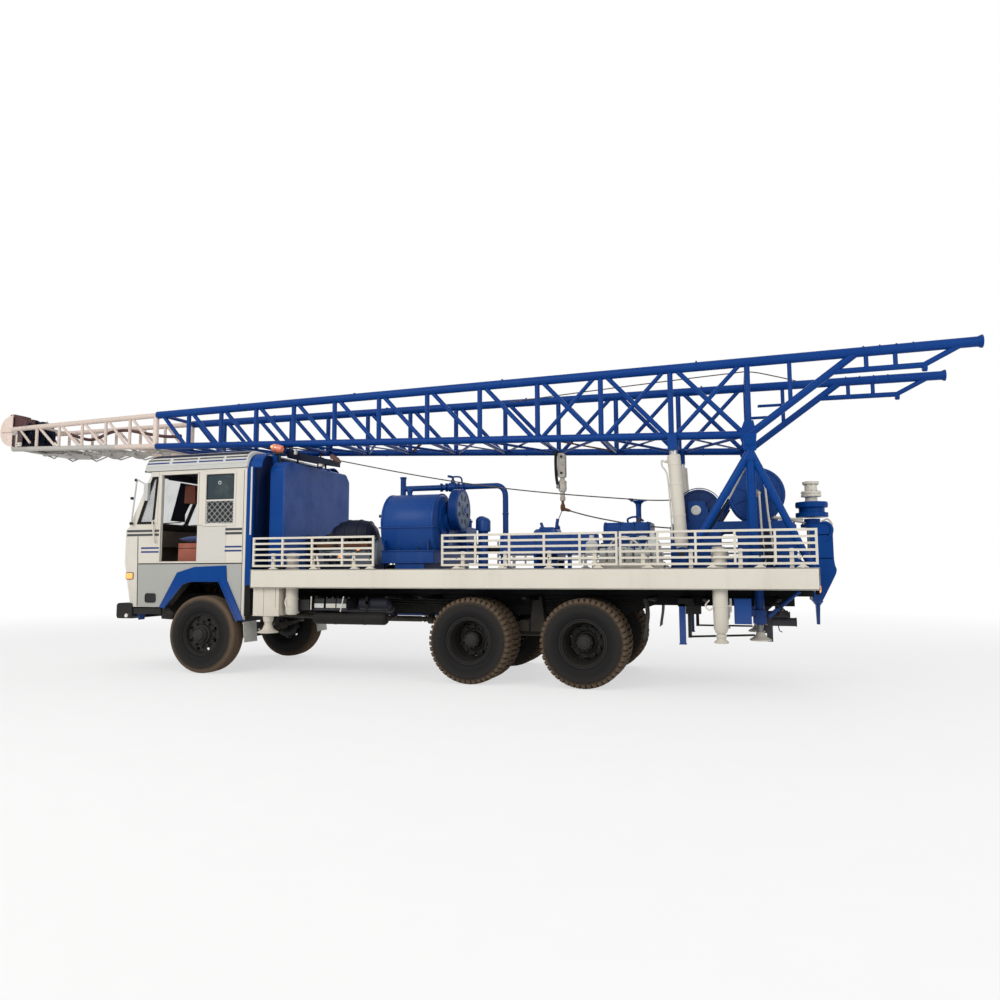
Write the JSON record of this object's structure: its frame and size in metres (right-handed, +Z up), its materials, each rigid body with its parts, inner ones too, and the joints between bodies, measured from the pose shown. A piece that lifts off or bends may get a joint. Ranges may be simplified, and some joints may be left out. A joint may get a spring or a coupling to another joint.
{
  "type": "truck-mounted rotary drilling rig",
  "caption": "Truck with a folded lattice mast over its cab, mud pump, drawworks, water tank and rotary head on a railed deck.",
  "frame": {"origin": "on the ground, midway between the crown's nose and the mast's feet, on the truck's centre line", "axes": "+X towards the truck's tail, -X forward, -Y the truck's left side, +Z up"},
  "size_m": [14.4249, 2.51, 4.0105],
  "materials": {
    "black_paint": "semi-gloss",
    "blue_paint": "gloss",
    "chrome_rod": "polished",
    "cream_paint": "gloss",
    "crown_paint": "gloss",
    "dash_plastic": "matte",
    "glass": "clear",
    "grey_paint": "satin",
    "navy_paint": "semi-gloss",
    "seat_cloth": "worn",
    "tyre": "worn"
  },
  "bodies": {
    "truck": {"front_axle": "black_paint", "rear_axles": "black_paint", "leaf_springs": "black_paint", "chassis_frame": "navy_paint", "front_bumper": "black_paint", "truck_engine": "black_paint", "side_tanks": "black_paint", "cab_front": "cream_paint", "cab_left_side": "cream_paint", "cab_right_side": "cream_paint", "cab_roof": "cream_paint", "cab_rear_wall": "blue_paint", "cab_floor": "blue_paint", "seats": "seat_cloth", "dashboard": "dash_plastic", "cab_glass": "glass", "deck": "blue_paint", "side_boards": "cream_paint", "deck_guards": "cream_paint", "water_tank": "blue_paint", "deck_engine": "blue_paint", "mud_pump": "blue_paint", "drawworks": "blue_paint", "rotary_gearbox": "blue_paint", "mast_supports": "blue_paint", "jack_housings": "cream_paint"},
    "left_knuckle": {"knuckle_left": "black_paint"},
    "right_knuckle": {"knuckle_right": "black_paint"},
    "front_wheel_left": {"front_tyre_left": "tyre", "front_rim_left": "black_paint"},
    "front_wheel_right": {"front_tyre_right": "tyre", "front_rim_right": "black_paint"},
    "left_door": {"door_left": "grey_paint"},
    "right_door": {"door_right": "grey_paint"},
    "mast": {"mast_left_side": "blue_paint", "mast_right_side": "blue_paint", "mast_bracing": "blue_paint", "crown_section": "crown_paint", "crown_block": "crown_paint", "travelling_block": "cream_paint"},
    "crown_sheaves_body": {"crown_sheaves": "crown_paint"},
    "lift_barrels_body": {"lift_barrels": "cream_paint"},
    "lift_rods_body": {"lift_rods": "chrome_rod"},
    "pump_sheave_body": {"pump_sheave": "blue_paint"},
    "winch_drum_body": {"winch_drum": "blue_paint"},
    "rotary_table_body": {"rotary_table": "cream_paint"},
    "rear_wheels_1_left": {"rear_tyres_1_left": "tyre", "rear_rims_1_left": "black_paint"},
    "rear_wheels_1_right": {"rear_tyres_1_right": "tyre", "rear_rims_1_right": "black_paint"},
    "rear_wheels_2_left": {"rear_tyres_2_left": "tyre", "rear_rims_2_left": "black_paint"},
    "rear_wheels_2_right": {"rear_tyres_2_right": "tyre", "rear_rims_2_right": "black_paint"},
    "front_jack_leg_left": {"front_jack_left": "cream_paint"},
    "front_jack_leg_right": {"front_jack_right": "cream_paint"},
    "rear_jack_leg_left": {"rear_jack_left": "cream_paint"},
    "rear_jack_leg_right": {"rear_jack_right": "cream_paint"},
    "tail_jack_leg_left": {"tail_jack_left": "cream_paint"},
    "tail_jack_leg_right": {"tail_jack_right": "cream_paint"}
  },
  "joints": [
    {"name": "steer_left", "type": "hinge", "parent": "truck", "child": "left_knuckle", "pos_m": [-2.4425, -0.87, 0.525], "axis": [0, 0, 1], "range_deg": [-28, 28]},
    {"name": "front_wheel_left_spin", "type": "hinge", "parent": "left_knuckle", "child": "front_wheel_left", "pos_m": [-2.4425, -1.065, 0.525], "axis": [0, 1, 0], "continuous": true},
    {"name": "rear_wheels_1_left_spin", "type": "hinge", "parent": "truck", "child": "rear_wheels_1_left", "pos_m": [1.4075, -0.905, 0.525], "axis": [0, 1, 0], "continuous": true},
    {"name": "rear_wheels_2_left_spin", "type": "hinge", "parent": "truck", "child": "rear_wheels_2_left", "pos_m": [2.8175, -0.905, 0.525], "axis": [0, 1, 0], "continuous": true},
    {"name": "door_left_slide", "type": "slide", "parent": "truck", "child": "left_door", "axis": [-1, 0, 0], "range_m": [0, 0.585]},
    {"name": "steer_right", "type": "hinge", "parent": "truck", "child": "right_knuckle", "pos_m": [-2.4425, 0.87, 0.525], "axis": [0, 0, 1], "range_deg": [-28, 28]},
    {"name": "front_wheel_right_spin", "type": "hinge", "parent": "right_knuckle", "child": "front_wheel_right", "pos_m": [-2.4425, 1.065, 0.525], "axis": [0, 1, 0], "continuous": true},
    {"name": "rear_wheels_1_right_spin", "type": "hinge", "parent": "truck", "child": "rear_wheels_1_right", "pos_m": [1.4075, 0.905, 0.525], "axis": [0, 1, 0], "continuous": true},
    {"name": "rear_wheels_2_right_spin", "type": "hinge", "parent": "truck", "child": "rear_wheels_2_right", "pos_m": [2.8175, 0.905, 0.525], "axis": [0, 1, 0], "continuous": true},
    {"name": "door_right_slide", "type": "slide", "parent": "truck", "child": "right_door", "axis": [-1, 0, 0], "range_m": [0, 0.585]},
    {"name": "mast_raise", "type": "hinge", "parent": "truck", "child": "mast", "pos_m": [4.7575, 0, 2.84], "axis": [0, 1, 0], "range_deg": [0, 90]},
    {"name": "lift_tilt", "type": "hinge", "parent": "truck", "child": "lift_barrels_body", "pos_m": [3.9525, 0, 1.56], "axis": [0, 1, 0], "range_deg": [0, 25.39]},
    {"name": "lift_extend", "type": "slide", "parent": "lift_barrels_body", "child": "lift_rods_body", "axis": [-0.0628, 0, 0.998], "range_m": [0, 1.0142]},
    {"name": "crown_sheaves_spin", "type": "hinge", "parent": "mast", "child": "crown_sheaves_body", "pos_m": [-6.9025, 0, 3.70049], "axis": [0, 1, 0], "continuous": true},
    {"name": "pump_sheave_spin", "type": "hinge", "parent": "truck", "child": "pump_sheave_body", "pos_m": [0.9825, -0.33, 2.19], "axis": [1, 0, 0], "continuous": true},
    {"name": "winch_drum_spin", "type": "hinge", "parent": "truck", "child": "winch_drum_body", "pos_m": [4.8275, 0, 2.285], "axis": [0, 1, 0], "continuous": true},
    {"name": "rotary_table_spin", "type": "hinge", "parent": "truck", "child": "rotary_table_body", "pos_m": [5.4725, 0, 2.045], "axis": [0, 0, 1], "continuous": true},
    {"name": "front_jack_left_slide", "type": "slide", "parent": "truck", "child": "front_jack_leg_left", "axis": [0, 0, -1], "range_m": [0, 0.555]},
    {"name": "front_jack_right_slide", "type": "slide", "parent": "truck", "child": "front_jack_leg_right", "axis": [0, 0, -1], "range_m": [0, 0.555]},
    {"name": "rear_jack_left_slide", "type": "slide", "parent": "truck", "child": "rear_jack_leg_left", "axis": [0, 0, -1], "range_m": [0, 0.555]},
    {"name": "rear_jack_right_slide", "type": "slide", "parent": "truck", "child": "rear_jack_leg_right", "axis": [0, 0, -1], "range_m": [0, 0.555]},
    {"name": "tail_jack_left_slide", "type": "slide", "parent": "truck", "child": "tail_jack_leg_left", "axis": [0, 0, -1], "range_m": [0, 0.555]},
    {"name": "tail_jack_right_slide", "type": "slide", "parent": "truck", "child": "tail_jack_leg_right", "axis": [0, 0, -1], "range_m": [0, 0.555]}
  ],
  "couplings": [
    {"joint": "steer_right", "follows": "steer_left", "ratio": 1},
    {"joint": "lift_tilt", "follows": "mast_raise", "ratio": 0.27658},
    {"joint": "lift_extend", "follows": "mast_raise", "m_per_rad": 0.63932}
  ]
}
